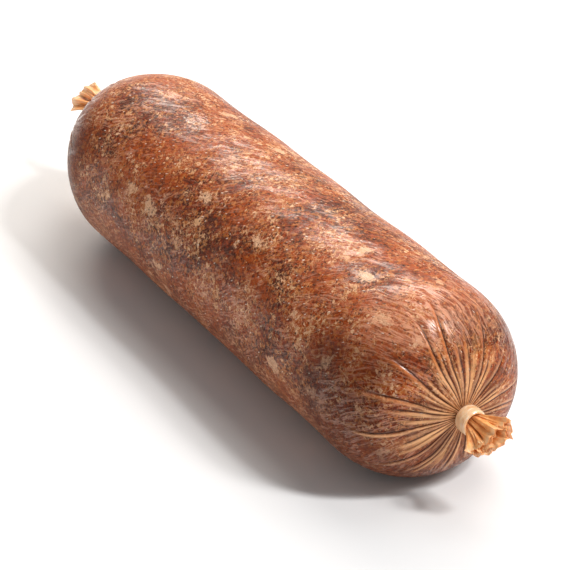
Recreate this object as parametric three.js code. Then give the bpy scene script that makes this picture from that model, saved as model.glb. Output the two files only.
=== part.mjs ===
// A cured sausage in a stuffed casing, lying on its side along X with its front end at +X.
// One solid is the fat body with both gathered ends, the necks and the ruffled tails of spare casing.
// Two more are the open bands that tie the necks off. Millimetres, +Z up, resting on z = 0.
import * as THREE from "three";

// Driving dimensions of the body
const DIAMETER = 65; // filled casing, side to side
const HEIGHT_SHARE = 0.965; // height over width, as the filling settles
const BODY_LENGTH = 233.6; // from the root of one neck to the root of the other
const FLAT_DEPTH = 0.35; // how far the flat it rests on cuts into the round section
const LUMP_HEIGHT = 0.12; // height of each wave of the uneven filling
const LUMPS = [
  // [length of the wave along X, turns of it round the body, start of the wave in radians]
  [118, 1, 0.4],
  [74, 2, 2.1],
  [53, 3, 4.4],
  [41, -2, 1.2],
  [87, -3, 5.3],
];

// Driving dimensions of the gathered ends
const PLEATS = 44; // folds round each neck
const PLEAT_DEPTH = 1.0; // deepest crease below the crests beside it
const SHORT_PLEAT = 12; // least length of a fold, measured from the neck
const PLEAT_SPREAD = 13; // how much longer the longest of the ordinary folds is
const NECK_RADIUS = 2.65;
const NECK_LENGTH = 5.6; // the stretch that the band holds
const ENDS = {
  front: {
    side: 1,
    depth: 29.6, // length of the rounded end
    shoulder: 2.65, // its fullness at the body: 2 is an ellipse's, more is fuller
    nose: 2.65, // its fullness at the neck: near 1 it runs in like a cone
    neckShift: 0.9, // start of the neck past the end of the body length
    aside: 1.8, // place of the neck off the body's axis
    up: -1.7,
    seed: 3,
    longPleats: [
      // [angle round the body in degrees from +Y towards +Z, length from the neck]
      [6, 26],
      [34, 22],
      [63, 31],
      [91, 37],
      [114, 35],
      [139, 30],
      [158, 32],
      [184, 34],
      [213, 29],
      [237, 25],
      [262, 23],
      [291, 26],
      [319, 22],
      [346, 23],
    ],
  },
  rear: {
    side: -1,
    depth: 42.5,
    shoulder: 1.7,
    nose: 1.35,
    neckShift: 0.2,
    aside: 0.8,
    up: 3.0,
    seed: 8,
    longPleats: [
      [12, 40],
      [45, 46],
      [70, 34],
      [101, 44],
      [128, 38],
      [160, 47],
      [192, 40],
      [221, 44],
      [252, 36],
      [286, 42],
      [318, 38],
      [344, 33],
    ],
  },
};

// Driving dimensions of the tails and the bands
const TAILS = {
  front: {
    length: 12.2,
    halfWidth: 7.3,
    halfThickness: 2.7,
    curve: 0.47, // how much shorter it is at its two sides than in its middle
    slant: 0.15, // how much longer it is at its upper side, and shorter at its lower one
    lobes: 11,
    sag: 0,
    lean: 0,
    seed: 5,
  },
  rear: {
    length: 15.5,
    halfWidth: 6.3,
    halfThickness: 2.7,
    curve: 0.36,
    slant: 0,
    lobes: 8,
    sag: 1.5,
    lean: -1.2,
    seed: 6,
  },
};
const TAIL_TURN = 42.6; // degrees from +Y towards +Z of the tails' wide direction
const RUFFLE_DEPTH = 1.1; // height of a ruffle at the rim
const RIM_UNEVENNESS = 0.7; // how far the cut edge runs in and out
const CASING_THICKNESS = 0.6; // of a tail's wall, drawn thicker than the real film
const BAND_INNER = 3.05; // radius
const BAND_THICKNESS = 1.4;
const BAND_WIDTH = 5.0;
const BAND_OPENING = 116; // degrees left open
const BAND_TAPER = 45; // degrees over which each of its ends narrows

// Sizes worked out from these
const RADIUS = DIAMETER / 2;
const AXIS_HEIGHT = RADIUS * HEIGHT_SHARE - FLAT_DEPTH;
const HALF = BODY_LENGTH / 2;
const COLUMNS = 2 * PLEATS; // a crease and a crest for each fold
const TURN = 2 * Math.PI;
const NECK_SHARE = NECK_RADIUS / RADIUS;
const reach = (name) => HALF + ENDS[name].neckShift + NECK_LENGTH + TAILS[name].length;
const CENTRE_X = (reach("front") - reach("rear")) / 2;

const radians = THREE.MathUtils.degToRad;
const { clamp, lerp, smoothstep } = THREE.MathUtils;

// A number from 0 to 1 that looks random and is the same each time for the same index and seed.
function scatter(index, seed) {
  const value = Math.sin(index * 12.9898 + seed * 78.233) * 43758.5453;
  return value - Math.floor(value);
}

// The folds of one end: each has its angle, its strength and the length that it reaches from the neck.
function pleatsOf(end) {
  const spacing = TURN / PLEATS;
  const pleats = Array.from({ length: PLEATS }, (_, k) => ({
    angle: (k + 0.5 + 0.5 * (scatter(k, end.seed) - 0.5)) * spacing,
    strength: 0.35 + 0.5 * scatter(k, end.seed + 1),
    length: SHORT_PLEAT + PLEAT_SPREAD * scatter(k, end.seed + 2) ** 2,
  }));
  for (const [degrees, length] of end.longPleats) {
    const k = Math.floor(radians(degrees) / spacing);
    pleats[k].strength = 1;
    pleats[k].length = length;
  }
  return pleats;
}

// The grid's column angles at one end: a crease at each fold, and its crest a third of the way on.
function columnsOf(pleats) {
  return pleats.flatMap((pleat, k) => {
    const next = k + 1 < PLEATS ? pleats[k + 1].angle : pleats[0].angle + TURN;
    return [pleat.angle, lerp(pleat.angle, next, 0.42)];
  });
}

// Rise of the surface at a column, at a distance from the neck: creases go in and crests stand up a little.
function foldAt(pleats, column, distance) {
  const pleat = pleats[Math.floor(column / 2)];
  const near = lerp(0.3, 1, smoothstep(distance, 0, 7));
  const far = clamp(1 - distance / pleat.length, 0, 1) ** 0.8;
  const depth = PLEAT_DEPTH * pleat.strength * near * far;
  return column % 2 === 0 ? -depth : 0.15 * depth;
}

// The uneven filling: a sum of long waves that fades out at the underside, which rests flat.
function lumpAt(x, angle) {
  const waves = LUMPS.map(([length, turns, start]) => Math.sin((TURN * x) / length + turns * angle + start));
  const total = waves.reduce((sum, wave) => sum + wave, 0);
  return LUMP_HEIGHT * total * smoothstep(Math.sin(angle), -0.95, -0.6);
}

// Each end keeps its folds and the grid columns that follow them.
for (const end of Object.values(ENDS)) {
  end.pleats = pleatsOf(end);
  end.columns = columnsOf(end.pleats);
}

// Distance along X from the shoulder to where the rounded end has the given share of the full radius.
function dome(end, share) {
  return end.depth * (1 - share ** end.nose) ** (1 / end.shoulder);
}

// Distance over the surface from the neck's root to the given share of the radius, by short steps.
function distanceToNeck(end, share) {
  const steps = 40;
  let total = 0;
  for (let i = 0; i < steps; i++) {
    const a = lerp(NECK_SHARE, share, i / steps);
    const b = lerp(NECK_SHARE, share, (i + 1) / steps);
    total += Math.hypot(dome(end, b) - dome(end, a), RADIUS * (b - a));
  }
  return total;
}

// One ring of the body: share is its radius over the full radius, x its place along the axis.
function bodyRing(x, share, distances) {
  const end = x > 0 ? ENDS.front : ENDS.rear;
  const height = lerp(HEIGHT_SHARE, 1, (1 - share) ** 2);
  const centreY = end.aside * (1 - share);
  const centreZ = AXIS_HEIGHT + end.up * (1 - share);
  const blend = smoothstep(x, -HALF + ENDS.rear.depth, HALF - ENDS.front.depth);
  return Array.from({ length: COLUMNS }, (_, column) => {
    const angle = lerp(ENDS.rear.columns[column], ENDS.front.columns[column], blend);
    const folds = foldAt(ENDS.rear.pleats, column, distances.rear) + foldAt(ENDS.front.pleats, column, distances.front);
    const radius = share * (RADIUS + lumpAt(x, angle)) + folds;
    const z = centreZ + height * radius * Math.sin(angle);
    return new THREE.Vector3(x, centreY + radius * Math.cos(angle), Math.max(z, 0));
  });
}

// Rings from the shoulder of an end down to the root of its neck.
function endRings(name) {
  const end = ENDS[name];
  const shares = [0.985, 0.95, 0.9, 0.83, 0.75, 0.66, 0.57, 0.48, 0.39, 0.31, 0.24, 0.18, 0.135];
  return shares.map((share) => {
    const x = end.side * (HALF - end.depth + dome(end, share));
    return bodyRing(x, share, { front: Infinity, rear: Infinity, [name]: distanceToNeck(end, share) });
  });
}

// Rings of the straight stretch, each with its distances to the two necks.
function middleRings() {
  const start = -HALF + ENDS.rear.depth;
  const finish = HALF - ENDS.front.depth;
  const count = 9;
  return Array.from({ length: count }, (_, i) => {
    const x = lerp(start, finish, i / (count - 1));
    const front = distanceToNeck(ENDS.front, 1) + finish - x;
    const rear = distanceToNeck(ENDS.rear, 1) + x - start;
    return bodyRing(x, 1, { front, rear });
  });
}

// The neck through the band: a short fillet, then straight, with shallow folds all round.
function neckRings(name) {
  const end = ENDS[name];
  const places = [
    [end.neckShift - 0.75, NECK_RADIUS + 0.6],
    [end.neckShift, NECK_RADIUS],
    [end.neckShift + NECK_LENGTH / 2, NECK_RADIUS],
    [end.neckShift + NECK_LENGTH, NECK_RADIUS],
  ];
  return places.map(([x, radius]) =>
    end.columns.map((angle, column) => {
      const r = radius + 0.3 * foldAt(end.pleats, column, 0);
      return new THREE.Vector3(
        end.side * (HALF + x),
        end.aside + r * Math.cos(angle),
        AXIS_HEIGHT + end.up + r * Math.sin(angle),
      );
    }),
  );
}

// One ring of a tail. Along runs from 0 at the neck to 1 at the cut rim, and inside is how far the
// ring lies within the outer face. The section is an ellipse that widens into a ruffled fan.
function tailRing(name, along, inside) {
  const end = ENDS[name];
  const tail = TAILS[name];
  const wide = lerp(NECK_RADIUS, tail.halfWidth, along ** 0.85);
  const thick = lerp(NECK_RADIUS, tail.halfThickness, along);
  const turn = radians(TAIL_TURN);
  return end.columns.map((columnAngle, column) => {
    const even = (TURN * (column + 0.5)) / COLUMNS;
    const angle = lerp(columnAngle, even, smoothstep(along, 0, 0.5)) - turn;
    const lobe = (tail.lobes * column) / COLUMNS;
    const size = 0.6 + 0.4 * scatter(Math.floor(lobe), tail.seed);
    const wave = Math.abs(2 * (lobe - Math.floor(lobe)) - 1) * 2 - 1;
    const ruffle = RUFFLE_DEPTH * size * wave * along;
    const round = (wide * thick) / Math.hypot(thick * Math.cos(angle), wide * Math.sin(angle));
    const radius = Math.max(round + ruffle - inside, 0.2);
    const w = radius * Math.cos(angle);
    const v = radius * Math.sin(angle);
    const rim = RIM_UNEVENNESS * (scatter(Math.floor(column / 2), tail.seed + 1) - 0.5) * along ** 3;
    const across = w / (tail.halfWidth + RUFFLE_DEPTH);
    const length = tail.length * along * (1 - tail.curve * across ** 2 + tail.slant * across);
    return new THREE.Vector3(
      end.side * (HALF + end.neckShift + NECK_LENGTH + length + rim),
      end.aside + tail.lean * along + w * Math.cos(turn) - v * Math.sin(turn),
      AXIS_HEIGHT + end.up - tail.sag * along ** 1.5 + w * Math.sin(turn) + v * Math.cos(turn),
    );
  });
}

// A tail's rings from the neck out to the rim and back down into its hollow, and the hollow's bottom.
function tailRings(name) {
  const outer = [0.12, 0.3, 0.5, 0.7, 0.87, 1].map((along) => tailRing(name, along, 0));
  const inner = [1, 0.87, 0.7, 0.5].map((along) => tailRing(name, along, CASING_THICKNESS));
  const bottom = tailRing(name, 0.38, 0).reduce((sum, p) => sum.add(p), new THREE.Vector3());
  return { rings: [...outer, ...inner], bottom: bottom.divideScalar(COLUMNS) };
}

// A closed surface through rings of points, capped by a fan to a point at each end.
function skinGeometry(rings, first, last) {
  const columns = rings[0].length;
  const points = [first, ...rings.flat(), last];
  const index = [];
  const at = (ring, column) => 1 + ring * columns + (column % columns);
  for (let c = 0; c < columns; c++) {
    index.push(0, at(0, c + 1), at(0, c));
    index.push(points.length - 1, at(rings.length - 1, c), at(rings.length - 1, c + 1));
    for (let r = 0; r + 1 < rings.length; r++) {
      index.push(at(r, c), at(r, c + 1), at(r + 1, c));
      index.push(at(r, c + 1), at(r + 1, c + 1), at(r + 1, c));
    }
  }
  const geometry = new THREE.BufferGeometry().setFromPoints(points);
  geometry.setIndex(index);
  geometry.computeVertexNormals();
  return geometry;
}

// The body, its gathered ends, the necks and the tails as one skin from the rear hollow to the front one.
function sausageGeometry() {
  const rearTail = tailRings("rear");
  const frontTail = tailRings("front");
  const rear = [...endRings("rear"), ...neckRings("rear"), ...rearTail.rings].reverse();
  const front = [...endRings("front"), ...neckRings("front"), ...frontTail.rings];
  return skinGeometry([...rear, ...middleRings(), ...front], rearTail.bottom, frontTail.bottom);
}

// A band: a section that is flat inside and crowned outside, carried round the neck and open on the
// side away from the front-left, with ends that taper.
function bandGeometry(end) {
  const sides = 10;
  const steps = 30;
  const open = radians(BAND_OPENING);
  const middleAngle = radians(TAIL_TURN + 90);
  const arc = TURN - open;
  const centreX = end.side * (HALF + end.neckShift + NECK_LENGTH / 2 + 0.1);
  const rings = Array.from({ length: steps + 1 }, (_, i) => {
    const angle = middleAngle + arc * (i / steps - 0.5);
    const toEnd = Math.min(i, steps - i) * (arc / steps);
    const size = lerp(0.42, 1, Math.sqrt(smoothstep(toEnd, 0, radians(BAND_TAPER))));
    return Array.from({ length: sides }, (_, k) => {
      const turn = (TURN * (k + 0.5)) / sides;
      const across = Math.sign(Math.cos(turn)) * Math.abs(Math.cos(turn)) ** 0.7;
      const rise = 0.5 + 0.5 * Math.sign(Math.sin(turn)) * Math.abs(Math.sin(turn)) ** 0.8;
      const radius = BAND_INNER + BAND_THICKNESS * rise * size;
      return new THREE.Vector3(
        centreX + across * 0.5 * BAND_WIDTH * size,
        end.aside + radius * Math.cos(angle),
        AXIS_HEIGHT + end.up + radius * Math.sin(angle),
      );
    });
  });
  const middle = (ring) => ring.reduce((sum, p) => sum.add(p), new THREE.Vector3()).divideScalar(sides);
  return skinGeometry(rings, middle(rings[0]), middle(rings[steps]));
}

function namedMesh(name, geometry, material) {
  const mesh = new THREE.Mesh(geometry, material);
  mesh.name = name;
  return mesh;
}

const meat = new THREE.MeshStandardMaterial({ color: 0x8c4c2f, roughness: 0.42, metalness: 0 });
const band = new THREE.MeshStandardMaterial({ color: 0xe9c391, roughness: 0.3, metalness: 0 });

const sausage = new THREE.Group();
sausage.add(namedMesh("sausage", sausageGeometry(), meat));
sausage.add(namedMesh("front_band", bandGeometry(ENDS.front), band));
sausage.add(namedMesh("rear_band", bandGeometry(ENDS.rear), band));
sausage.position.x = -CENTRE_X;

export default sausage;
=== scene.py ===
"""A cured sausage in its casing, tied at both ends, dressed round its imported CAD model.

Laid out as a Blender add-on and run as a script. Sizes in the tables are millimetres. Every mesh
is made in metres at the origin, in the CAD model's own frame: X along the sausage, Z up, resting
on z = 0."""

import math
from types import SimpleNamespace

import bpy
import numpy as np
from mathutils import Matrix, Vector


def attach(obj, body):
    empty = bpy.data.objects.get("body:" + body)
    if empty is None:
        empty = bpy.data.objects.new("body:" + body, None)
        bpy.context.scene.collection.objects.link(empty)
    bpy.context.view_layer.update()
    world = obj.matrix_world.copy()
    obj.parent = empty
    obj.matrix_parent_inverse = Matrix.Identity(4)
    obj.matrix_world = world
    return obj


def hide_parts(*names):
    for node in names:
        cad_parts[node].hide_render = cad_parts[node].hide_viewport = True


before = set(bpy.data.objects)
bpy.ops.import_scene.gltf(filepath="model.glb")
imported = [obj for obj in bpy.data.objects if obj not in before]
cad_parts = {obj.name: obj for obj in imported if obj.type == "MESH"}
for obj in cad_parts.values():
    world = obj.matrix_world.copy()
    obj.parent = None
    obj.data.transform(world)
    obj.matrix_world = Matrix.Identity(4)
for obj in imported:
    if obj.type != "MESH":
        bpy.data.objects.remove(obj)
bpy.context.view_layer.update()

bl_info = {
    "name": "Cured Sausage",
    "version": (1, 0, 0),
    "blender": (4, 5, 0),
    "location": "3D View > Sidebar > Sausage",
    "description": "Makes a cured sausage with gathered ends, tie bands and ruffled tails",
    "category": "Add Mesh",
}

MM = 0.001
TURN = 2 * math.pi

# The uneven filling, as in the CAD source: each wave's length along X, turns round the body and
# start
LUMPS = ((118, 1, 0.4), (74, 2, 2.1), (53, 3, 4.4), (41, -2, 1.2), (87, -3, 5.3))

# The gathered ends, as in the CAD source
PLEATS = 44
SHORT_PLEAT = 12  # least length of a fold, measured from the neck
PLEAT_SPREAD = 13  # how much longer the longest of the ordinary folds is
ENDS = {
    "front": {
        "side": 1,
        "depth": 29.6,
        "shoulder": 2.65,
        "nose": 2.65,
        "neck_shift": 0.9,
        "aside": 1.8,
        "up": -1.7,
        "seed": 3,
        "long_pleats": (
            (6, 26), (34, 22), (63, 31), (91, 37), (114, 35), (139, 30), (158, 32),
            (184, 34), (213, 29), (237, 25), (262, 23), (291, 26), (319, 22), (346, 23),
        ),
    },
    "rear": {
        "side": -1,
        "depth": 42.5,
        "shoulder": 1.7,
        "nose": 1.35,
        "neck_shift": 0.2,
        "aside": 0.8,
        "up": 3.0,
        "seed": 8,
        "long_pleats": (
            (12, 40), (45, 46), (70, 34), (101, 44), (128, 38), (160, 47),
            (192, 40), (221, 44), (252, 36), (286, 42), (318, 38), (344, 33),
        ),
    },
}

# The tails: their outline as in the CAD source, then their waves (count, height), the deep
# valleys that start at the band (place round the section, width, depth), the scallops of the rim,
# how much shorter the side that faces up is, and the films (share of the full section, seed)
TAILS = {
    "front": {
        "length": 12.2,
        "half_width": 7.3,
        "curve": 0.47,
        "slant": 0.15,
        "sag": 0.0,
        "lean": 0.0,
        "seed": 5,
        "waves": ((3, 0.35), (5, 0.5), (8, 0.55), (13, 0.22)),
        "valleys": (
            (0.305, 0.022, 1.8), (0.225, 0.014, 0.9), (0.37, 0.012, 0.7), (0.14, 0.012, 0.6),
        ),
        "scallops": 16,
        "near_cut": 2.6,
        "films": ((1.0, 0.0), (0.72, 40.0)),
    },
    "rear": {
        "length": 15.5,
        "half_width": 6.3,
        "curve": 0.36,
        "slant": 0.0,
        "sag": 1.5,
        "lean": -1.2,
        "seed": 6,
        "waves": ((3, 0.4), (7, 0.75), (9, 0.3)),
        "valleys": ((0.27, 0.025, 1.5), (0.18, 0.016, 0.9), (0.35, 0.018, 1.1)),
        "scallops": 9,
        "near_cut": 1.0,
        "films": ((1.0, 0.0), (0.6, 40.0)),
    },
}
TAIL_TURN = math.radians(42.6)  # of the tails' wide direction, from +Y towards +Z
FAN_HALF_THICKNESS = 1.5  # of a tail's oval at the rim
FILM_START = 2.2  # where a tail's films begin inside the band
FIBRE_RADIUS = 7.0  # of the straight tube that the films' fibres are laid on
TAIL_COLUMNS = 480
TAIL_ROWS = 48

# The bands
BAND_OPENING = math.radians(116)
BAND_TAPER = math.radians(45)  # the turn over which each of its ends narrows
BAND_SIDES = 40
BAND_STEPS = 110

# Detail that only this dressed model has
PLEAT_STEPS = (0.0, 0.045, 0.1, 0.17, 0.26, 0.37, 0.5, 0.63, 0.75, 0.86, 0.95)  # fold to fold
PLEAT_SWING = 0.05  # radians by which the folds wander
SILK_TWIST = 0.016  # radians round the body for each millimetre along it
END_RINGS = 64
MIDDLE_RINGS = 52
FILLET_RINGS = 6
NECK_RINGS = (0.8, 1.6, 2.6)  # places of the last rings past the start of the neck
NECK_SHARE = 0.12  # share of the radius where a rounded end turns into its neck
PROFILE_STEPS = 2000  # over which the length of a rounded end is measured
FAR = 1000.0  # a distance from a neck that none of its folds reach
NECK_REACH = 80  # the largest distance from a neck that the material tells apart

# Sizes of the meat's patterns
BROAD_SIZE = 19
RICH_SIZE = 11
PATCH_SIZE = 6.0
PIECE_SIZE = 5.5
STRAND_SIZE = 5.5
BLOTCH_SIZE = 3.2
NETWORK_SIZE = 1.6
GLINT_SIZE = 1.5
PIT_SIZE = 1.35
GRAIN_SIZE = 1.3
GRANULE_SIZE = 0.95
FINE_SIZE = 0.5

# The lights: azimuth and elevation in degrees, distance and sides in metres, and tone
WHITE = (1.0, 1.0, 1.0)
WARM = (1.0, 0.92, 0.84)
LIGHTS = {
    "key": (27, 54, 1.1, (0.11, 0.11), WHITE),
    "middle_key": (31, 46, 1.1, (0.12, 0.12), WHITE),
    "low_key": (33, 38, 1.1, (0.16, 0.16), WHITE),
    "top": (100, 72, 1.0, (0.5, 0.5), WHITE),
    "back": (160, 38, 0.9, (0.5, 0.42), WARM),
    "far_side": (122, 48, 0.9, (0.4, 0.3), WARM),
}
LIT_POINT = (0, 0, 0.03)  # metres, the point that the lights face

# The photograph's camera, fitted to the outline of the sausage
CAMERA_AZIMUTH = -29.346  # degrees
CAMERA_ELEVATION = 28.010
CAMERA_DISTANCE = 800.0
CAMERA_AIM = (7.362, -12.979)  # place of the aimed point to the right and up in the camera's plane
CAMERA_HEIGHT = 32.15  # of the point that the aim is measured from
CAMERA_LENS = 153.70
SENSOR_WIDTH = 36


# Numbers


def scatter(index, seed):
    """A number from 0 to 1 that looks random: the fraction left of a large multiple of a sine."""
    value = np.sin(np.asarray(index, float) * 12.9898 + seed * 78.233) * 43758.5453
    return value - np.floor(value)


def step(value, low, high):
    """Runs from 0 at low to 1 at high with a level start and finish: 3t^2 - 2t^3."""
    t = np.clip((value - low) / (high - low), 0.0, 1.0)
    return t * t * (3 - 2 * t)


def blend(low, high, share):
    """Straight mix: low + (high - low) * share."""
    return low + (high - low) * share


# The body's surface


def pleats_of(end):
    """Angle, strength and length of each fold of an end: even steps with scatter, a few long."""
    spacing = TURN / PLEATS
    k = np.arange(PLEATS)
    angle = (k + 0.5 + 0.5 * (scatter(k, end["seed"]) - 0.5)) * spacing
    strength = 0.42 + 0.5 * scatter(k, end["seed"] + 1)
    length = SHORT_PLEAT + PLEAT_SPREAD * scatter(k, end["seed"] + 2) ** 2
    for degrees, longest in end["long_pleats"]:
        place = int(math.radians(degrees) / spacing)
        strength[place] = 1.0
        length[place] = longest
    return angle, strength, length


def dome(end, share):
    """Distance along X from the shoulder to the given share of the full radius, a rounded end:
    depth * (1 - share^nose)^(1/shoulder)."""
    return end["depth"] * (1 - share ** end["nose"]) ** (1 / end["shoulder"])


def end_profile(end, sizes):
    """Rings of one end from its shoulder to inside the band, evenly spaced over its curve.
    Each ring has its x from the middle, its share of the radius, its share of the way to the neck's
    centre and its distance over the surface from the neck. Its reach is the distance from the
    shoulder."""
    fine = np.linspace(1.0, NECK_SHARE, PROFILE_STEPS)
    x = dome(end, fine)
    length = np.concatenate([[0], np.cumsum(np.hypot(np.diff(x), sizes.radius * np.diff(fine)))])
    even = np.linspace(0, 1, END_RINGS + 1)[1:] ** 0.85 * length[-1]
    share = np.interp(even, length, fine)
    distance = length[-1] - even
    x = sizes.half - end["depth"] + dome(end, share)
    centre = 1 - share
    t = np.linspace(0, 1, FILLET_RINGS + 1)[1:]
    fillet_x = blend(x[-1], sizes.half + end["neck_shift"], t**0.8)
    neck = sizes.neck_radius / sizes.radius
    fillet_share = blend(neck, NECK_SHARE, (1 - t) ** 2)
    fillet_centre = blend(centre[-1], 1, t)
    neck_x = sizes.half + end["neck_shift"] + np.array(NECK_RINGS)
    held = len(NECK_RINGS)
    return SimpleNamespace(
        x=np.concatenate([x, fillet_x, neck_x]),
        share=np.concatenate([share, fillet_share, np.full(held, neck)]),
        centre=np.concatenate([centre, fillet_centre, np.ones(held)]),
        distance=np.concatenate([distance, np.zeros(FILLET_RINGS + held)]),
        reach=length[-1],
    )


def column_angles(pleats):
    """Angles of the grid's columns: the same steps from each fold to the next."""
    angle = pleats[0]
    after = np.append(angle[1:], angle[0] + TURN)
    steps = np.array(PLEAT_STEPS)
    return (angle[:, None] + (after - angle)[:, None] * steps[None, :]).ravel()


def folds(pleats, distance, radius, sizes):
    """Height of one end's folds, then how strongly the painted shade of the crease and the ridge
    show in the colour.
    Each fold is a bell-shaped groove with a low rounded ridge close beside it, and fades out with
    distance from the neck. Near the neck the grooves meet."""
    angle, strength, length = pleats
    steps = np.array(PLEAT_STEPS)
    gap = np.append(angle[1:], angle[0] + TURN) - angle
    k = np.repeat(np.arange(PLEATS), len(steps))
    share = np.tile(steps, PLEATS)
    after = (k + 1) % PLEATS
    near = blend(0.5, 1.0, step(distance, 0, 6))
    fade = np.clip(1 - distance[:, None] / length[None, :], 0, 1)
    depth = sizes.pleat_depth * strength[None, :] ** 1.5 * near[:, None] * fade**0.8
    seen = step(strength, 0.3, 0.85)[None, :] * step(fade, 0.0, 0.35)
    spacing = gap[k][None, :] * radius[:, None]
    width = np.minimum(sizes.crease_width, 0.22 * spacing)
    ahead = share[None, :] * spacing / width
    behind = (1 - share)[None, :] * spacing / width
    groove_here = np.exp(-(ahead**2))
    groove_after = np.exp(-((behind / 1.6) ** 2))
    ridge = np.exp(-(((ahead - 2.2) / 1.1) ** 2))
    height = -groove_here * depth[:, k] - groove_after * depth[:, after]
    height = height + 0.4 * ridge * depth[:, k]
    crease = groove_here * seen[:, k] + 0.8 * np.exp(-(behind**2)) * seen[:, after]
    return height, np.clip(crease, 0, 1), ridge * seen[:, k]


def lumps(x, angle, sizes):
    """The uneven filling: a sum of long sine waves along and round the body, level underneath."""
    waves = [np.sin(TURN * x / length + turns * angle + start) for length, turns, start in LUMPS]
    total = sum(waves)
    return sizes.lump_height * total * step(np.sin(angle), -0.95, -0.6)


def on_tube(angle, along, sizes):
    """Places on a straight tube of the body's girth, at angles round it and distances along it."""
    return sizes.radius * np.stack([np.cos(angle), np.sin(angle), along / sizes.radius], axis=-1)


def body_surface(sizes):
    """The body from inside the rear band to inside the front one, as a grid of rings and columns.
    A ring is a slightly low circle round an axis that drifts towards each neck, with lumps and
    folds. Its values thread and silk are places on a straight tube, silk twisted along it."""
    front = end_profile(ENDS["front"], sizes)
    rear = end_profile(ENDS["rear"], sizes)
    start = -sizes.half + ENDS["rear"]["depth"]
    finish = sizes.half - ENDS["front"]["depth"]
    middle = np.linspace(start, finish, MIDDLE_RINGS)
    rear_rings, front_rings = len(rear.x), len(front.x)
    x = np.concatenate([-rear.x[::-1], middle, front.x])
    share = np.concatenate([rear.share[::-1], np.ones(MIDDLE_RINGS), front.share])
    rear_centre = np.concatenate([rear.centre[::-1], np.zeros(MIDDLE_RINGS + front_rings)])
    front_centre = np.concatenate([np.zeros(rear_rings + MIDDLE_RINGS), front.centre])
    from_rear = [rear.distance[::-1], rear.reach + middle - start, np.full(front_rings, FAR)]
    from_front = [np.full(rear_rings, FAR), front.reach + finish - middle, front.distance]
    from_rear, from_front = np.concatenate(from_rear), np.concatenate(from_front)
    pleats = {name: pleats_of(end) for name, end in ENDS.items()}
    mix = step(x, start, finish)[:, None]
    rear_angle, front_angle = (column_angles(pleats[name])[None, :] for name in ("rear", "front"))
    angle = blend(rear_angle, front_angle, mix)
    for distance, phase in ((from_front, 1.0), (from_rear, 4.0)):
        swing = PLEAT_SWING * step(distance, 2, 12) * (1 - step(distance, 30, 60))
        angle = angle + swing[:, None] * np.sin(distance[:, None] / 7 + 3 * angle + phase)
    radius = share * sizes.radius
    rear_height, rear_crease, rear_ridge = folds(pleats["rear"], from_rear, radius, sizes)
    front_height, front_crease, front_ridge = folds(pleats["front"], from_front, radius, sizes)
    filled = share[:, None] * (sizes.radius + lumps(x[:, None], angle, sizes))
    out = filled + rear_height + front_height
    height = blend(sizes.height_share, 1.0, (1 - share) ** 2)[:, None]
    centre_y = ENDS["rear"]["aside"] * rear_centre + ENDS["front"]["aside"] * front_centre
    centre_z = sizes.axis_height + ENDS["rear"]["up"] * rear_centre
    centre_z = centre_z + ENDS["front"]["up"] * front_centre
    y = centre_y[:, None] + out * np.cos(angle)
    z = np.maximum(centre_z[:, None] + height * out * np.sin(angle), 0)
    points = np.stack([np.broadcast_to(x[:, None], y.shape), y, z], axis=-1)
    nearest = np.minimum(from_rear, from_front)
    along = np.concatenate([[0], np.cumsum(np.hypot(np.diff(x), np.diff(radius)))])
    along = np.broadcast_to(along[:, None], y.shape)
    values = {
        "crease": np.maximum(rear_crease, front_crease),
        "ridge": np.maximum(rear_ridge, front_ridge),
        "neck": np.broadcast_to(np.minimum(nearest, NECK_REACH)[:, None], y.shape),
        "thread": on_tube(angle, along, sizes),
        "silk": on_tube(angle + SILK_TWIST * along, along, sizes),
    }
    return points, values


# The tails' surface


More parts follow.
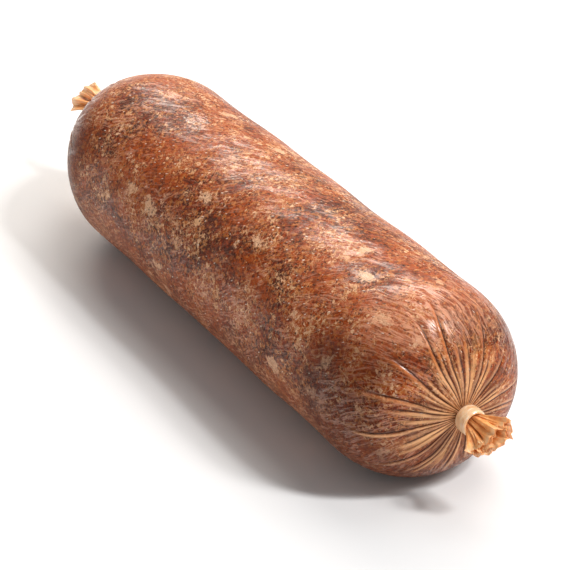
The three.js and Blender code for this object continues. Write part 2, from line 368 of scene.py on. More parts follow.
def tail_layer(name, size, offset, sizes):
    """One film of a tail, from inside the band to the cut rim. Its section is a ring at the neck
    that widens into a flat oval. It leaves the oval along its normal in soft uneven folds, a sum of
    sines round the section, and in deep bell-shaped valleys that start at the band. The rim is
    crinkled by two sines and cut in scallops, and the side that faces up is cut shorter."""
    end, tail = ENDS[name], TAILS[name]
    rows = np.linspace(0, 1, TAIL_ROWS)[:, None]
    turn = np.arange(TAIL_COLUMNS)[None, :] / TAIL_COLUMNS
    seed = tail["seed"] + offset
    waves = np.zeros((TAIL_ROWS, TAIL_COLUMNS))
    lean_over = np.zeros((TAIL_ROWS, TAIL_COLUMNS))
    for count, height in tail["waves"]:
        drift = 1.4 * (scatter(count, seed + 1) - 0.5)
        phase = TURN * (count * turn + scatter(count, seed)) + drift * rows
        waves = waves + height * np.sin(phase)
        lean_over = lean_over + height * np.cos(phase) / count
    valleys = np.zeros((TAIL_ROWS, TAIL_COLUMNS))
    begins, fades = step(rows, 0.02, 0.25), 1 - 0.85 * step(rows, 0.45, 0.95)
    for place, width, depth in tail["valleys"]:
        bell = np.exp(-(((turn - place - 0.02 * (rows - 0.3)) / (width * (0.6 + 0.8 * rows))) ** 2))
        valleys = valleys + depth * bell * begins * fades
    angle = TURN * turn + 0.5 * lean_over * step(rows, 0.2, 0.9)
    wide = size * blend(sizes.neck_radius * 0.95, tail["half_width"] + 0.3, rows**0.85)
    thick = size * blend(sizes.neck_radius * 0.95, FAN_HALF_THICKNESS, rows**0.7)
    along_w, along_v = np.cos(angle) / wide, np.sin(angle) / thick
    scale = np.hypot(along_w, along_v)
    rim = step(rows, 0.74, 1.0)
    lobe = TURN * tail["scallops"] * turn + 1.6 * np.sin(TURN * 3 * turn + seed)
    crinkle = 0.3 * np.sin(lobe + 0.6 * rows) + 0.1 * np.sin(2.3 * lobe - 2 * rows)
    out = sizes.fold_depth * size * waves * blend(0.22, 1.0, step(rows, 0.0, 0.85))
    out = out - valleys * size + crinkle * (0.1 + 0.9 * rim) * rows
    w = wide * np.cos(angle) + out * along_w / scale
    v = thick * np.sin(angle) + out * along_v / scale
    uneven = 0.7 * (np.abs(np.sin(lobe / 2)) ** 0.6 - 0.8) + 0.45 * np.sin(TURN * 4 * turn + seed)
    near = step(np.sin(TURN * turn), 0.15, 0.8)
    across = w / (tail["half_width"] + 1.1)
    length = tail["length"] * rows * (1 - tail["curve"] * across**2 + tail["slant"] * across)
    length = length + uneven * rows**4 - (1 - size) * 2.5 * rows - tail["near_cut"] * near * rows
    root = sizes.half + end["neck_shift"] + FILM_START
    x = end["side"] * (root + (sizes.neck_length - FILM_START) * rows**0.5 + length)
    y = end["aside"] + tail["lean"] * rows + w * math.cos(TAIL_TURN) - v * math.sin(TAIL_TURN)
    z = sizes.axis_height + end["up"] - tail["sag"] * rows**1.5
    z = z + w * math.sin(TAIL_TURN) + v * math.cos(TAIL_TURN)
    tube = FIBRE_RADIUS * np.stack([np.cos(TURN * turn), np.sin(TURN * turn)], axis=-1)
    tube = np.broadcast_to(tube, (TAIL_ROWS, TAIL_COLUMNS, 2))
    values = {
        # How deep a place lies in a fold of the tail, where the film is painted darker as shade
        "valley": np.clip(0.4 * valleys - 0.45 * waves, 0, 1),
        "outward": np.broadcast_to(rows, y.shape),
        "thread": np.concatenate([tube, length[..., None]], axis=-1),
    }
    return np.stack([x, y, z], axis=-1), values


# The bands' surface


def band_surface(name, sizes):
    """A tie band: a section that is flat inside and crowned outside with two shallow grooves,
    carried round the neck through an open turn, with ends that taper. The section is a circle whose
    cosine and sine are raised to powers below 1, which squares it."""
    end = ENDS[name]
    arc = TURN - BAND_OPENING
    i = np.linspace(0, 1, BAND_STEPS + 1)[:, None]
    angle = TAIL_TURN + TURN / 4 + arc * (i - 0.5)
    to_end = np.minimum(i, 1 - i) * arc
    size = blend(0.42, 1.0, np.sqrt(step(to_end, 0, BAND_TAPER)))
    size = size * np.sqrt(np.clip(to_end / 0.05, 0.02, 1))
    k = TURN * (np.arange(BAND_SIDES)[None, :] + 0.5) / BAND_SIDES
    across = np.sign(np.cos(k)) * np.abs(np.cos(k)) ** 0.7
    rise = 0.5 + 0.5 * np.sign(np.sin(k)) * np.abs(np.sin(k)) ** 0.8
    groove = 0.11 * np.exp(-(((np.abs(across) - 0.42) / 0.1) ** 2)) * (np.sin(k) > 0)
    radius = sizes.band_inner + sizes.band_thickness * (rise - groove) * size
    lie = 0.12 * np.sin(2 * angle + 1.0)
    middle = sizes.half + end["neck_shift"] + sizes.neck_length / 2 + 0.1
    x = end["side"] * middle + lie + across * 0.5 * sizes.band_width * size
    y = end["aside"] + radius * np.cos(angle)
    z = sizes.axis_height + end["up"] + radius * np.sin(angle)
    points = np.stack([x, y, z], axis=-1)
    return points, {"across": np.broadcast_to(across, y.shape)}


# Meshes


def grid_faces(rings, columns, start):
    """Four-sided faces between the rings of a grid that closes on itself round its columns."""
    r, c = np.meshgrid(np.arange(rings - 1), np.arange(columns), indexing="ij")
    after = (c + 1) % columns
    here, there = r * columns, (r + 1) * columns
    corners = [here + c, here + after, there + after, there + c]
    return start + np.stack(corners, axis=-1).reshape(-1, 4)


def add_piece(name, grids, material, caps, centre_x):
    """Puts grids of points in millimetres into one mesh object at the origin. With caps, the first
    and last ring of a grid close to a point in their middle, otherwise the first ring alone does.
    Each grid's values become attributes of the points."""
    points, faces, values = [], [], {}
    start = 0
    for grid, extras in grids:
        rings, columns = grid.shape[:2]
        flat = grid.reshape(-1, 3)
        faces += grid_faces(rings, columns, start).tolist()
        ends = [(0, start + rings * columns)]
        if caps:
            ends.append((rings - 1, start + rings * columns + 1))
        tips = []
        for ring, tip in ends:
            c = start + ring * columns + np.arange(columns)
            pair = (np.roll(c, -1), c) if ring == 0 else (c, np.roll(c, -1))
            faces += np.stack([np.full(columns, tip), pair[0], pair[1]], axis=-1).tolist()
            tips.append(grid[ring].mean(axis=0))
        points.append(np.concatenate([flat, np.array(tips)]))
        for key, value in extras.items():
            value = np.asarray(value, float)
            width = value.shape[-1] if value.ndim == 3 else 1
            rows = value.reshape(-1, width)
            tips_of_value = [value[ring].reshape(columns, width).mean(axis=0) for ring, _ in ends]
            values.setdefault(key, []).append(np.concatenate([rows, np.array(tips_of_value)]))
        start += rings * columns + len(ends)
    points = np.concatenate(points)
    if not np.isfinite(points).all():
        raise ValueError(f"The surface of {name} has points without a place")
    points[:, 0] -= centre_x
    mesh = bpy.data.meshes.new(name)
    mesh.from_pydata((points * MM).tolist(), [], faces)
    for key, parts in values.items():
        rows = np.concatenate(parts)
        kind = "FLOAT_VECTOR" if rows.shape[1] == 3 else "FLOAT"
        attribute = mesh.attributes.new(key, kind, "POINT")
        attribute.data.foreach_set("vector" if kind == "FLOAT_VECTOR" else "value", rows.ravel())
    mesh.shade_smooth()
    mesh.update()
    piece = bpy.data.objects.new(name, mesh)
    bpy.context.scene.collection.objects.link(piece)
    mesh.materials.append(material)
    return piece


# Shader maths


class Value:
    """A socket that can be used in a Python sum: each operator adds one Math node."""

    def __init__(self, tree, socket):
        self.tree = tree
        self.socket = socket

    def math(self, operation, *items):
        """A Math node on the items, which are values or numbers."""
        return self.tree.node("ShaderNodeMath", {"operation": operation}, dict(enumerate(items)))

    def __add__(self, other):
        return self.math("ADD", self, other)

    __radd__ = __add__

    def __mul__(self, other):
        return self.math("MULTIPLY", self, other)

    __rmul__ = __mul__

    def __sub__(self, other):
        return self.math("SUBTRACT", self, other)

    def __rsub__(self, other):
        return self.math("SUBTRACT", other, self)

    def __abs__(self):
        return self.math("ABSOLUTE", self)

    def rises(self, low, high):
        """0 at low, 1 at high, with a level start and finish. Low may be the larger."""
        inputs = {"Value": self, "From Min": low, "From Max": high}
        return self.tree.node("ShaderNodeMapRange", {"interpolation_type": "SMOOTHSTEP"}, inputs)


class Shader:
    """A material's node tree with one Principled surface."""

    def __init__(self, name, settings):
        self.material = bpy.data.materials.new(name)
        self.material.use_nodes = True
        self.nodes = self.material.node_tree.nodes
        self.links = self.material.node_tree.links
        self.nodes.clear()
        self.surface = self.nodes.new("ShaderNodeBsdfPrincipled")
        output = self.nodes.new("ShaderNodeOutputMaterial")
        self.links.new(self.surface.outputs[0], output.inputs["Surface"])
        for socket, value in settings.items():
            self.surface.inputs[socket].default_value = value

    def node(self, kind, settings=None, inputs=None, output=0):
        """Adds a node: its settings, then the value or link of each named or numbered socket."""
        new = self.nodes.new(kind)
        for key, value in (settings or {}).items():
            setattr(new, key, value)
        for key, value in (inputs or {}).items():
            self.put(new.inputs[key], value)
        return Value(self, new.outputs[output])

    def put(self, socket, value):
        """Links a value to a socket, or sets the socket to a number or colour."""
        if isinstance(value, Value):
            self.links.new(value.socket, socket)
        else:
            socket.default_value = value

    def place(self, stretch=(1, 1, 1), turn=0.0):
        """Object coordinates in millimetres, turned about Z and then divided by the stretch."""
        coordinates = self.node("ShaderNodeTexCoord", output="Object")
        inputs = {"Vector": coordinates, "Rotation": (0, 0, turn), "Scale": [1 / MM] * 3}
        turned = self.node("ShaderNodeMapping", {"vector_type": "POINT"}, inputs)
        return self.scaled(turned, stretch)

    def scaled(self, vector, stretch):
        """The vector divided by the stretch, so that a pattern on it is stretched by that much."""
        factors = [1 / item for item in stretch]
        return self.node("ShaderNodeVectorMath", {"operation": "MULTIPLY"}, {0: vector, 1: factors})

    def attribute(self, name, output="Fac"):
        """A value that the mesh carries at its points."""
        return self.node("ShaderNodeAttribute", {"attribute_name": name}, output=output)

    def noise(self, vector, size, detail=2.0, roughness=0.5, distortion=0.0):
        """Noise whose features are about size millimetres across, from about 0 to 1."""
        inputs = {
            "Vector": vector,
            "Scale": 1 / size,
            "Detail": detail,
            "Roughness": roughness,
            "Distortion": distortion,
        }
        return self.node("ShaderNodeTexNoise", {}, inputs)

    def drift(self, vector, size, amount):
        """The vector moved about by a noise of the given size, by up to about half the amount."""
        inputs = {"Vector": vector, "Scale": 1 / size, "Detail": 2.0}
        moves = self.node("ShaderNodeTexNoise", {}, inputs, "Color")
        sums = {0: moves, 1: [amount] * 3, 2: vector}
        return self.node("ShaderNodeVectorMath", {"operation": "MULTIPLY_ADD"}, sums)

    def spots(self, vector, size, output="Distance", feature="F1"):
        """Distance to the nearest of points about size millimetres apart, or its cell's colour."""
        inputs = {"Vector": vector, "Scale": 1 / size}
        return self.node("ShaderNodeTexVoronoi", {"feature": feature}, inputs, output)

    def mix(self, factor, low, high):
        """Mixes two colours. 6 and 7 are the Mix node's colour sockets, and 2 is its result."""
        settings = {"data_type": "RGBA", "blend_type": "MIX", "clamp_factor": True}
        return self.node("ShaderNodeMix", settings, {0: factor, 6: low, 7: high}, 2)

    def channel(self, colour, name="Red"):
        """One channel of a colour, as a number."""
        return self.node("ShaderNodeSeparateColor", {}, {0: colour}, name)

    def bump(self, height, distance, strength=1.0):
        """Height in shares of a distance in millimetres, as a bump for the Normal socket."""
        inputs = {"Height": height, "Distance": distance * MM, "Strength": strength}
        return self.node("ShaderNodeBump", {}, inputs)

    def finish(self, **sockets):
        """Links values to the surface's sockets of those names, and returns the material."""
        for name, value in sockets.items():
            self.put(self.surface.inputs[name.replace("_", " ").title()], value)
        return self.material


def colour(red, green, blue):
    """A colour from its 0 to 255 screen values, as the linear one that sockets take."""
    share = np.array([red, green, blue]) / 255
    linear = np.where(share <= 0.04045, share / 12.92, ((share + 0.055) / 1.055) ** 2.4)
    return (*linear.tolist(), 1.0)


# Materials


def meat_in_casing(looks):
    """Minced cured meat seen through a tight film: granules of lean and fat, a cream network where
    it is rich, pale fat pieces, pits and painted glints. Over it lie a painted reflection of the
    floor low on the body, a painted sheen in long silky streaks, painted shade on the shoulders
    beside the necks and a painted sheen on top of them. The pleats are tan with painted shade in
    their creases and small folds, and turn amber at the necks."""
    shader = Shader(
        "meat_in_casing",
        {
            "Specular IOR Level": 0.15,
            "Specular Tint": colour(255, 204, 168),
            "Coat Roughness": 0.26,
            "Coat IOR": 1.5,
            "Coat Tint": colour(255, 244, 234),
        },
    )
    still = shader.place()
    place = shader.place((1.3, 1, 1), math.radians(-20))
    thread = shader.attribute("thread", "Vector")
    silk_place = shader.attribute("silk", "Vector")
    crease = shader.attribute("crease")
    ridge = shader.attribute("ridge")
    neck = shader.attribute("neck")
    height_up = shader.node("ShaderNodeSeparateXYZ", {}, {0: still}, "Z")
    # low: the lower side of the body, which gets a painted reflection of the floor and more painted
    # sheen
    low = height_up.rises(38, 18)
    upper = height_up.rises(18, 50)

    broad = shader.noise(place, BROAD_SIZE, 2, 0.55, 0.3)
    patch = shader.noise(place, PATCH_SIZE, 3, 0.6, 0.5)
    richness = shader.noise(place, RICH_SIZE, 3, 0.6, 0.6).rises(0.38, 0.64)
    grain = shader.noise(still, GRAIN_SIZE, 4, 0.68, 0.3)
    fine = shader.noise(still, FINE_SIZE, 2, 0.6)

    # Lean meat, its granules and the network of fat
    tone = 0.4 * patch + 0.3 * broad + 0.15 + 0.9 * (grain - 0.5)
    lean = shader.mix(tone.rises(0.36, 0.58), looks["dark_lean"], looks["lean"])
    lean = shader.mix((broad + 0.6 * grain).rises(0.68, 0.92) * 0.75, lean, looks["orange"])

    loose = shader.drift(shader.drift(still, 1.0, 1.2), 4.0, 2.0)
    cell = shader.channel(shader.spots(loose, GRANULE_SIZE, "Color"))
    worth = cell + 0.25 * (richness - 0.5) + 0.6 * (grain - 0.5)
    meat = shader.mix(worth.rises(0.69, 0.81) * 0.75, lean, looks["tan_fat"])
    meat = shader.mix(worth.rises(0.34, 0.16) * 0.5, meat, looks["dark_lean"])
    meat = shader.mix(worth.rises(0.98, 1.06) * 0.8, meat, looks["pale_fat"])
    edge = shader.spots(loose, NETWORK_SIZE, "Distance", "DISTANCE_TO_EDGE")
    network = edge.rises(0.12, 0.02) * (0.08 + 0.92 * richness) * fine.rises(0.36, 0.55)
    meat = shader.mix(network * 0.6, meat, looks["fat"])

    # Blotches and pieces of fat
    blotch = shader.noise(place, BLOTCH_SIZE, 4, 0.72, 0.7)
    blotches = (blotch + 0.06 * richness + 0.15 * (fine - 0.5)).rises(0.63, 0.69)
    meat = shader.mix(blotches * 0.8, meat, looks["fat"])

    bent = shader.drift(shader.drift(place, 1.4, 2.4), 5.0, 4.0)
    piece_random = shader.channel(shader.spots(bent, PIECE_SIZE, "Color"), "Green")
    piece_edge = shader.spots(bent, PIECE_SIZE, "Distance", "DISTANCE_TO_EDGE")
    pieces = piece_random.rises(0.93, 0.94) * (piece_edge + 0.9 * (grain - 0.5)).rises(0.10, 0.26)
    meat = shader.mix(pieces * (0.45 + 0.35 * fine.rises(0.38, 0.52)), meat, looks["pale_fat"])

    # Pits, and painted glints on the film
    pit_distance = shader.spots(still, PIT_SIZE)
    pit_random = shader.channel(shader.spots(still, PIT_SIZE, "Color"), "Green")
    pits = (pit_distance + 0.35 * (fine - 0.5)).rises(0.34, 0.18) * pit_random.rises(0.66, 0.72)
    meat = shader.mix(pits * 0.8, meat, looks["pit"])

    glint_place = shader.drift(shader.scaled(silk_place, (1, 1, 1.9)), 1.5, 0.8)
    glint_distance = shader.spots(glint_place, GLINT_SIZE)
    glint_random = shader.channel(shader.spots(glint_place, GLINT_SIZE, "Color"), "Blue")
    # Painted glints: tiny pale highlights on the film
    glints = glint_distance.rises(0.20, 0.09) * glint_random.rises(0.56, 0.63)
    meat = shader.mix(glints * 0.85, meat, looks["glint"])

    # Painted light on the film: floor reflection low down, silky sheen, shaded shoulders, top sheen
    wavy = shader.drift(silk_place, 14, 9)
    silk = shader.noise(shader.scaled(wavy, (1, 1, 8)), 0.9, 3, 0.66, 0.2)
    silk_patch = shader.noise(still, 13, 2, 0.5, 0.5)
    tight = neck.rises(48, 34) * neck.rises(10, 24)
    # Painted reflection of the pale floor over the lower side of the body
    meat = shader.mix(low * (0.12 + 0.45 * patch), meat, looks["dusk"])
    # Painted sheen: pale silky streaks where the film catches the light, more of them low down and
    # near the necks, with darker lean streaks between them
    silky = 0.1 + 0.9 * (silk_patch + 0.16 * tight + 0.12 * low).rises(0.44, 0.60)
    meat = shader.mix(silk.rises(0.5, 0.62) * silky * 0.55, meat, looks["bloom"])
    meat = shader.mix(silk.rises(0.46, 0.34) * silky * 0.5, meat, looks["lean"])
    # Painted shade: the rounded ends darker beside the necks, except along their top
    shoulder = neck.rises(14, 26) * neck.rises(62, 44) * height_up.rises(60, 46)
    meat = shader.mix(shoulder * (0.3 + 0.5 * patch), meat, looks["dark_lean"])
    # Painted sheen on top of the rounded ends, near the necks
    top_sheen = height_up.rises(48, 58) * neck.rises(50, 30) * neck.rises(8, 18)
    meat = shader.mix(top_sheen * (0.15 + 0.6 * silk.rises(0.42, 0.6)), meat, looks["bloom"])

    # The gathered casing: strands and ridges that run to the necks, painted shade in the creases
    drawn = shader.scaled(shader.drift(thread, 9, 3.0), (1, 1, 10))
    strands = shader.noise(drawn, STRAND_SIZE, 5, 0.74, 0.1)
    closeness = (neck + 14 * (patch - 0.5)).rises(21, 4)
    skin = shader.mix(closeness * strands.rises(0.52, 0.57) * 0.95, meat, looks["gathered"])
    # Painted shade in the small folds between the strands near the necks
    skin = shader.mix(closeness * strands.rises(0.50, 0.45) * 0.9, skin, looks["valley"])
    skin = shader.mix(neck.rises(5, 0.5) * 0.45, skin, looks["amber"])
    crest = shader.mix(neck.rises(7, 19) * upper, looks["ridge"], looks["amber"])
    skin = shader.mix(ridge * (0.35 + 0.6 * strands.rises(0.38, 0.55)), skin, crest)
    # Painted shade in the creases of the pleats
    skin = shader.mix(crease.rises(0.15, 0.95) * 0.95, skin, looks["crease"])

    # Relief and gloss
    swell = shader.noise(still, 10, 2, 0.45)
    height = 0.5 * grain + 0.3 * fine + 0.25 * worth + 1.3 * silk
    height = height + 2.2 * strands * closeness + 2.4 * swell - 0.9 * pits + 0.5 * glints
    roughness = 0.48 + 0.2 * (fine - 0.5) + 0.5 * (silk - 0.5)
    polish = shader.noise(shader.scaled(wavy, (1, 1, 2)), 7, 3, 0.6, 0.3)
    streaks = 0.12 + 0.88 * silk.rises(0.43, 0.57)
    shine = polish.rises(0.37, 0.62) * streaks * (0.25 + 0.75 * upper)
    satin = neck.rises(52, 34) * neck.rises(6, 16) * silk.rises(0.44, 0.6)
    return shader.finish(
        base_color=skin,
        roughness=roughness,
        coat_weight=0.02 + 0.75 * shine + 0.6 * satin + 0.45 * ridge,
        normal=shader.bump(height, 0.35, 0.7),
    )


def casing_film(looks):
    """Dried casing film of the tails: amber and half clear, with painted shade deep in the folds
    and near the band, and pale along the rim with a thin warm edge; the pale rim is partly the
    thinner film and partly painted light that comes through it. A faint glow also stands for that
    light."""
    shader = Shader(
        "casing_film",
        {
            "IOR": 1.45,
            "Coat Roughness": 0.25,
            "Emission Strength": 0.09,
        },
    )
    place = shader.place()
    thread = shader.attribute("thread", "Vector")
    valley = shader.attribute("valley")
    outward = shader.attribute("outward")
    mottle = shader.noise(place, 1.8, 3, 0.6, 0.5)
    fibre = shader.noise(shader.scaled(shader.drift(thread, 3, 1.2), (1, 1, 6)), 0.8, 3, 0.65, 0.2)
    film = shader.mix(mottle.rises(0.3, 0.7), looks["film"], looks["film_warm"])
    # Painted shade near the band and deep in the folds, and the film's own darker fibres
    film = shader.mix(outward.rises(0.35, 0.05) * 0.6, film, looks["film_deep"])
    film = shader.mix(fibre.rises(0.45, 0.30) * 0.35, film, looks["film_deep"])
    film = shader.mix(valley.rises(0.15, 0.75) * 0.85, film, looks["film_deep"])
    film = shader.mix(fibre.rises(0.53, 0.66) * 0.6, film, looks["film_pale"])
    # Pale rim: partly the thinner film and partly painted light that comes through it
    rim = (outward + 0.12 * (mottle - 0.5)).rises(0.72, 0.96)
    edge = outward.rises(0.968, 0.985)
    film = shader.mix(rim * 0.9, film, looks["film_pale"])
    film = shader.mix(edge * 0.8, film, looks["film_warm"])
    height = fibre + 0.5 * mottle + 0.5 * shader.noise(place, 0.45, 2, 0.6)
    return shader.finish(
        base_color=film,
        roughness=0.36 + 0.2 * mottle,
        coat_weight=0.25 + 0.3 * fibre,
        alpha=1 - rim * (1 - edge) * 0.3,
        emission_color=shader.mix(rim * 0.6 + 0.2, looks["crease"], film),
        normal=shader.bump(height * (1 - 0.7 * rim), 0.2, 0.6),
    )


def band_material(looks):
    """Cream tie band: glossy, with faint lines along its length, darker and warmer at its edges."""
    shader = Shader(
        "cream_band",
        {
            "IOR": 1.5,
            "Subsurface Weight": 0.2,
            "Subsurface Radius": (1.0, 0.7, 0.4),
            "Subsurface Scale": 1.2 * MM,
            "Coat IOR": 1.8,
            "Coat Roughness": 0.15,
        },
    )
    place = shader.place((0.14, 1.6, 1.6))
    across = shader.attribute("across")
    lines = shader.noise(place, 1.6, 3, 0.6, 0.2)
    mottle = shader.noise(shader.place(), 1.8, 2, 0.5)
    cream = shader.mix(mottle.rises(0.35, 0.7) * 0.7, looks["band"], looks["band_warm"])
    cream = shader.mix(abs(across).rises(0.8, 1.0) * 0.5, cream, looks["band_warm"])
    cream = shader.mix(lines.rises(0.48, 0.68) * 0.7, cream, looks["band_pale"])
    return shader.finish(
        base_color=cream,
        roughness=0.22 + 0.16 * mottle,
        coat_weight=0.8 + 0.4 * (lines - 0.5),
        normal=shader.bump(lines + 0.4 * mottle, 0.15, 0.6),
    )


def floor_material(looks):
    """Plain pale matt floor."""
    shader = Shader("pale_floor", {"Specular IOR Level": 0.1})
    soft = shader.noise(shader.place(), 400, 1, 0.5)
    tone = shader.mix(soft * 0.3, looks["floor"], looks["floor_shade"])
    return shader.finish(base_color=tone, roughness=0.8 + 0.1 * soft)


# Settings


def colour_setting(name, description, red, green, blue):
    """A colour of the settings, from its 0 to 255 screen values."""
    return bpy.props.FloatVectorProperty(
        name=name,
        description=description,
        subtype="COLOR",
        size=4,
        min=0.0,
        max=1.0,
        default=colour(red, green, blue),
    )


def number_setting(name, description, default, **limits):
    """A number of the settings, with its limits, unit or subtype."""
    return bpy.props.FloatProperty(name=name, description=description, default=default, **limits)


def power_setting(name, description, watts):
    """A light's power in watts."""
    return number_setting(name, description, watts, min=0.0, unit="POWER")


def length_setting(name, description, millimetres):
    """A length, kept in metres."""
    limits = {"min": 0.0, "precision": 5, "unit": "LENGTH"}
    return number_setting(name, description, millimetres * MM, **limits)


class SausageSizes(bpy.types.PropertyGroup):
    """Sizes of the body, the pleats, the bands and the tails."""

    diameter: length_setting("Diameter", "Filled casing, side to side", 65)
    body_length: length_setting("Body length", "From the root of one neck to the other's", 233.6)
    flat_depth: length_setting("Flat depth", "How far the flat below cuts into the section", 0.35)
    lump_height: length_setting("Lump height", "Height of each wave of the uneven filling", 0.12)
    pleat_depth: length_setting("Pleat depth", "Deepest crease below the crests beside it", 1.2)
    crease_width: length_setting("Crease width", "Half width of a crease away from the neck", 0.42)
    neck_radius: length_setting("Neck radius", "Radius of the neck inside the band", 2.65)
    neck_length: length_setting("Neck length", "The stretch that the band holds", 5.6)
    band_inner: length_setting("Band inner radius", "Radius of the bands inside", 3.05)
    band_thickness: length_setting("Band thickness", "Thickness of the bands", 1.4)
    band_width: length_setting("Band width", "Width of the bands along the neck", 5.0)
    fold_depth: length_setting("Fold depth", "Height of the folds of the tails at the rim", 0.85)
    film_thickness: length_setting("Film thickness", "Thickness of the films of the tails", 0.16)
    height_share: number_setting(
        "Height share", "Height over width, as the filling settles", 0.965, subtype="FACTOR"
    )


class SausageColours(bpy.types.PropertyGroup):
    """Colours of the meat, the casing, the bands and the floor, and of the painted light and shade.
    """

    lean: colour_setting("Lean", "Cured lean meat", 128, 42, 11)
    # Dark lean: the darkest lean meat, also used for the painted shade on the shoulders of the ends
    dark_lean: colour_setting("Dark lean", "Darkest lean meat", 66, 22, 8)
    orange: colour_setting("Orange", "Spiced orange patches", 176, 78, 20)
    fat: colour_setting("Fat", "Specks of fat", 228, 176, 130)
    tan_fat: colour_setting("Tan fat", "Fat stained by the meat", 186, 112, 56)
    pale_fat: colour_setting("Pale fat", "Larger pieces of fat", 244, 198, 158)
    pit: colour_setting("Pit", "Small dark pits", 34, 13, 7)
    # Glint: colour of the painted glints, tiny highlights on the film
    glint: colour_setting("Glint", "Tiny pale points on the film", 244, 224, 206)
    # Painted sheen in silky streaks and on top of the rounded ends
    bloom: colour_setting("Bloom", "Silky bloom on the film", 216, 156, 126)
    # Painted reflection of the pale floor on the lower side of the body
    dusk: colour_setting("Dusk", "Dusty film on the lower side", 142, 90, 66)
    gathered: colour_setting("Gathered casing", "Casing where it is drawn together", 230, 170, 114)
    amber: colour_setting("Amber", "Film at the necks", 204, 120, 60)
    ridge: colour_setting("Ridge", "Crests of the pleats", 240, 186, 136)
    # Painted shade in the small folds of the gathered casing beside the bands
    valley: colour_setting("Valley", "Casing in the small folds beside the bands", 104, 48, 22)
    # Crease: the painted shade in the creases of the pleats, which also darkens the tails' faint
    # glow
    crease: colour_setting("Crease", "Bottoms of the pleats", 64, 28, 12)
    film: colour_setting("Tail film", "Spare casing past the bands", 252, 180, 106)
    film_warm: colour_setting("Warm film", "Second tone of the tails", 240, 152, 82)
    # Deep film: the film's own darker fibres, and painted shade deep in the folds and near the band
    film_deep: colour_setting("Deep film", "Spare casing deep in its folds", 150, 66, 26)
    # Pale film: raised fibres, and the rim, where it also paints the light that comes through the
    # film
    film_pale: colour_setting("Pale film", "Rim and raised fibres of the tails", 255, 212, 158)
    band: colour_setting("Band", "Tie bands", 254, 210, 164)
    band_warm: colour_setting("Warm band", "Edges and mottling of the bands", 240, 182, 122)
    band_pale: colour_setting("Pale band", "Faint lines along the bands", 255, 238, 216)
    floor: colour_setting("Floor", "Pale floor", 240, 240, 240)
    floor_shade: colour_setting("Floor shade", "Second tone of the floor", 236, 236, 236)


class StageSettings(bpy.types.PropertyGroup):
    """Light and floor."""

    floor_size: number_setting(
        "Floor size", "Side of the square floor", 4.0, min=0.5, unit="LENGTH"
    )
    key_power: power_setting("Key power", "Power of the light that casts the shadow", 4.3)
    middle_key_power: power_setting("Middle key power", "Power of the light below the key", 3.7)
    low_key_power: power_setting("Low key power", "Power of the lowest of the key lights", 1.5)
    top_power: power_setting("Top power", "Power of the softbox overhead", 1.8)
    back_power: power_setting("Back power", "Power of the softbox behind", 5.0)
    far_side_power: power_setting("Far side power", "Power of the softbox on the far side", 1.9)
    sky: number_setting("Surroundings", "Brightness of the pale surroundings", 0.28, min=0.0)


def sizes_of(context):
    """The sizes of the settings in millimetres, with those that follow from them."""
    group = context.scene.sausage_sizes
    lengths = {key: getattr(group, key) / MM for key in SausageSizes.__annotations__}
    sizes = SimpleNamespace(**lengths)
    sizes.height_share = group.height_share
    sizes.radius = sizes.diameter / 2
    sizes.axis_height = sizes.radius * sizes.height_share - sizes.flat_depth
    sizes.half = sizes.body_length / 2
    front, rear = (ENDS[name]["neck_shift"] + TAILS[name]["length"] for name in ("front", "rear"))
    sizes.centre_x = (front - rear) / 2
    return sizes


def looks_of(context):
    """The colours of the settings by name."""
    colours = context.scene.sausage_colours
    return {key: tuple(getattr(colours, key)) for key in SausageColours.__annotations__}


# Stage


def direction(azimuth, elevation):
    """Unit vector of an azimuth and an elevation in degrees."""
    a, e = math.radians(azimuth), math.radians(elevation)
    return Vector((math.cos(a) * math.cos(e), math.sin(a) * math.cos(e), math.sin(e)))


def aim(item, place, target):
    """Stands a camera or light at a place and turns its -Z to a target."""
    turned = (target - place).to_track_quat("-Z", "Y").to_matrix().to_4x4()
    item.matrix_world = Matrix.Translation(place) @ turned


def area_light(name, azimuth, elevation, distance, size, power, tone, target):
    """A soft rectangular light at an azimuth, elevation and distance from a target."""
    data = bpy.data.lights.new(name, "AREA")
    data.shape = "RECTANGLE"
    data.size, data.size_y = size
    data.energy = power
    data.color = tone
    lamp = bpy.data.objects.new(name, data)
    bpy.context.scene.collection.objects.link(lamp)
    aim(lamp, target + direction(azimuth, elevation) * distance, target)


def photo_camera(centre_x):
    """The photograph's view: from its azimuth and elevation, at a point moved in its own plane."""
    back = direction(CAMERA_AZIMUTH, CAMERA_ELEVATION)
    right = Vector((0, 0, 1)).cross(back).normalized()
    up = back.cross(right)
    origin = Vector((-centre_x, 0, CAMERA_HEIGHT))
    data = bpy.data.cameras.new("photo_camera")
    data.lens = CAMERA_LENS
    data.sensor_width = SENSOR_WIDTH
    data.clip_start = 0.01
    camera = bpy.data.objects.new("photo_camera", data)
    bpy.context.scene.collection.objects.link(camera)
    target = origin + right * CAMERA_AIM[0] + up * CAMERA_AIM[1]
    aim(camera, (origin + back * CAMERA_DISTANCE) * MM, target * MM)
    bpy.context.scene.camera = camera


# Operators


class SAUSAGE_OT_body(bpy.types.Operator):
    """Makes the stuffed body with both gathered ends"""

    bl_idname = "sausage.body"
    bl_label = "Sausage Body"

    def execute(self, context):
        sizes = sizes_of(context)
        material = meat_in_casing(looks_of(context))
        piece = add_piece("sausage_body", [body_surface(sizes)], material, True, sizes.centre_x)
        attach(piece, "root")
        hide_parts("sausage")
        return {"FINISHED"}


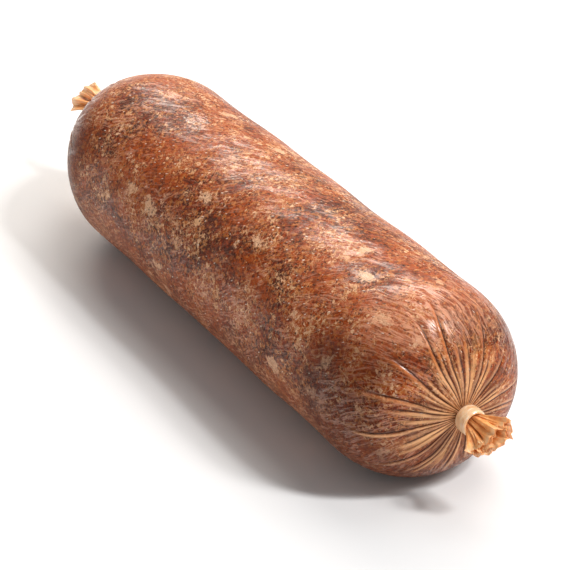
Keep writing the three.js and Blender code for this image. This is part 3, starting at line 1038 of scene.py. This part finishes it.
class SAUSAGE_OT_tails(bpy.types.Operator):
    """Makes the ruffled tails of spare casing past the bands"""

    bl_idname = "sausage.tails"
    bl_label = "Casing Tails"

    def execute(self, context):
        sizes = sizes_of(context)
        material = casing_film(looks_of(context))
        for name, tail in TAILS.items():
            grids = [tail_layer(name, *film, sizes) for film in tail["films"]]
            piece = add_piece(f"{name}_tail", grids, material, False, sizes.centre_x)
            if name == "rear":  # it runs towards -X, which turns its faces inwards
                piece.data.flip_normals()
            wall = piece.modifiers.new("wall", "SOLIDIFY")
            wall.thickness = sizes.film_thickness * MM
            wall.offset = 0
            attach(piece, "root")
            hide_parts("sausage")
        return {"FINISHED"}


class SAUSAGE_OT_bands(bpy.types.Operator):
    """Makes the open bands that tie the necks off"""

    bl_idname = "sausage.bands"
    bl_label = "Tie Bands"

    def execute(self, context):
        sizes = sizes_of(context)
        material = band_material(looks_of(context))
        for name in ENDS:
            grids = [band_surface(name, sizes)]
            piece = add_piece(f"{name}_tie", grids, material, True, sizes.centre_x)
            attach(piece, "root")
            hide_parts(f"{name}_band")
        return {"FINISHED"}


class SAUSAGE_OT_stage(bpy.types.Operator):
    """Makes the pale floor, the soft studio light and the camera"""

    bl_idname = "sausage.stage"
    bl_label = "Stage"

    def execute(self, context):
        settings = context.scene.sausage_stage
        half = settings.floor_size / 2
        mesh = bpy.data.meshes.new("floor")
        corners = [(-half, -half, 0), (half, -half, 0), (half, half, 0), (-half, half, 0)]
        mesh.from_pydata(corners, [], [(0, 1, 2, 3)])
        mesh.materials.append(floor_material(looks_of(context)))
        floor = bpy.data.objects.new("floor", mesh)
        context.scene.collection.objects.link(floor)
        for name, (azimuth, elevation, distance, size, tone) in LIGHTS.items():
            power = getattr(settings, f"{name}_power")
            area_light(name, azimuth, elevation, distance, size, power, tone, Vector(LIT_POINT))
        world = bpy.data.worlds.new("surroundings")
        world.use_nodes = True
        background = world.node_tree.nodes["Background"]
        background.inputs["Color"].default_value = (1.0, 1.0, 1.0, 1.0)
        background.inputs["Strength"].default_value = settings.sky
        context.scene.world = world
        context.scene.view_settings.view_transform = "Standard"
        photo_camera(sizes_of(context).centre_x)
        return {"FINISHED"}


class SAUSAGE_PT_panel(bpy.types.Panel):
    """Sidebar panel that lists the operators"""

    bl_idname = "SAUSAGE_PT_panel"
    bl_label = "Cured Sausage"
    bl_space_type = "VIEW_3D"
    bl_region_type = "UI"
    bl_category = "Sausage"

    def draw(self, context):
        for operator in OPERATORS:
            self.layout.operator(operator.bl_idname)
        scene = context.scene
        for group in (scene.sausage_sizes, scene.sausage_colours, scene.sausage_stage):
            for key in group.__annotations__:
                self.layout.prop(group, key)


OPERATORS = (SAUSAGE_OT_body, SAUSAGE_OT_tails, SAUSAGE_OT_bands, SAUSAGE_OT_stage)
CLASSES = (SausageSizes, SausageColours, StageSettings, *OPERATORS, SAUSAGE_PT_panel)


def register():
    """Registers the classes and hangs their settings on the scene."""
    for item in CLASSES:
        bpy.utils.register_class(item)
    bpy.types.Scene.sausage_sizes = bpy.props.PointerProperty(type=SausageSizes)
    bpy.types.Scene.sausage_colours = bpy.props.PointerProperty(type=SausageColours)
    bpy.types.Scene.sausage_stage = bpy.props.PointerProperty(type=StageSettings)


def unregister():
    """Takes the settings off the scene and unregisters the classes."""
    del bpy.types.Scene.sausage_stage
    del bpy.types.Scene.sausage_colours
    del bpy.types.Scene.sausage_sizes
    for item in reversed(CLASSES):
        bpy.utils.unregister_class(item)


def main():
    """Makes the sausage and its stage."""
    register()
    bpy.ops.sausage.body()
    bpy.ops.sausage.tails()
    bpy.ops.sausage.bands()
    bpy.ops.sausage.stage()


if __name__ == "__main__":
    main()
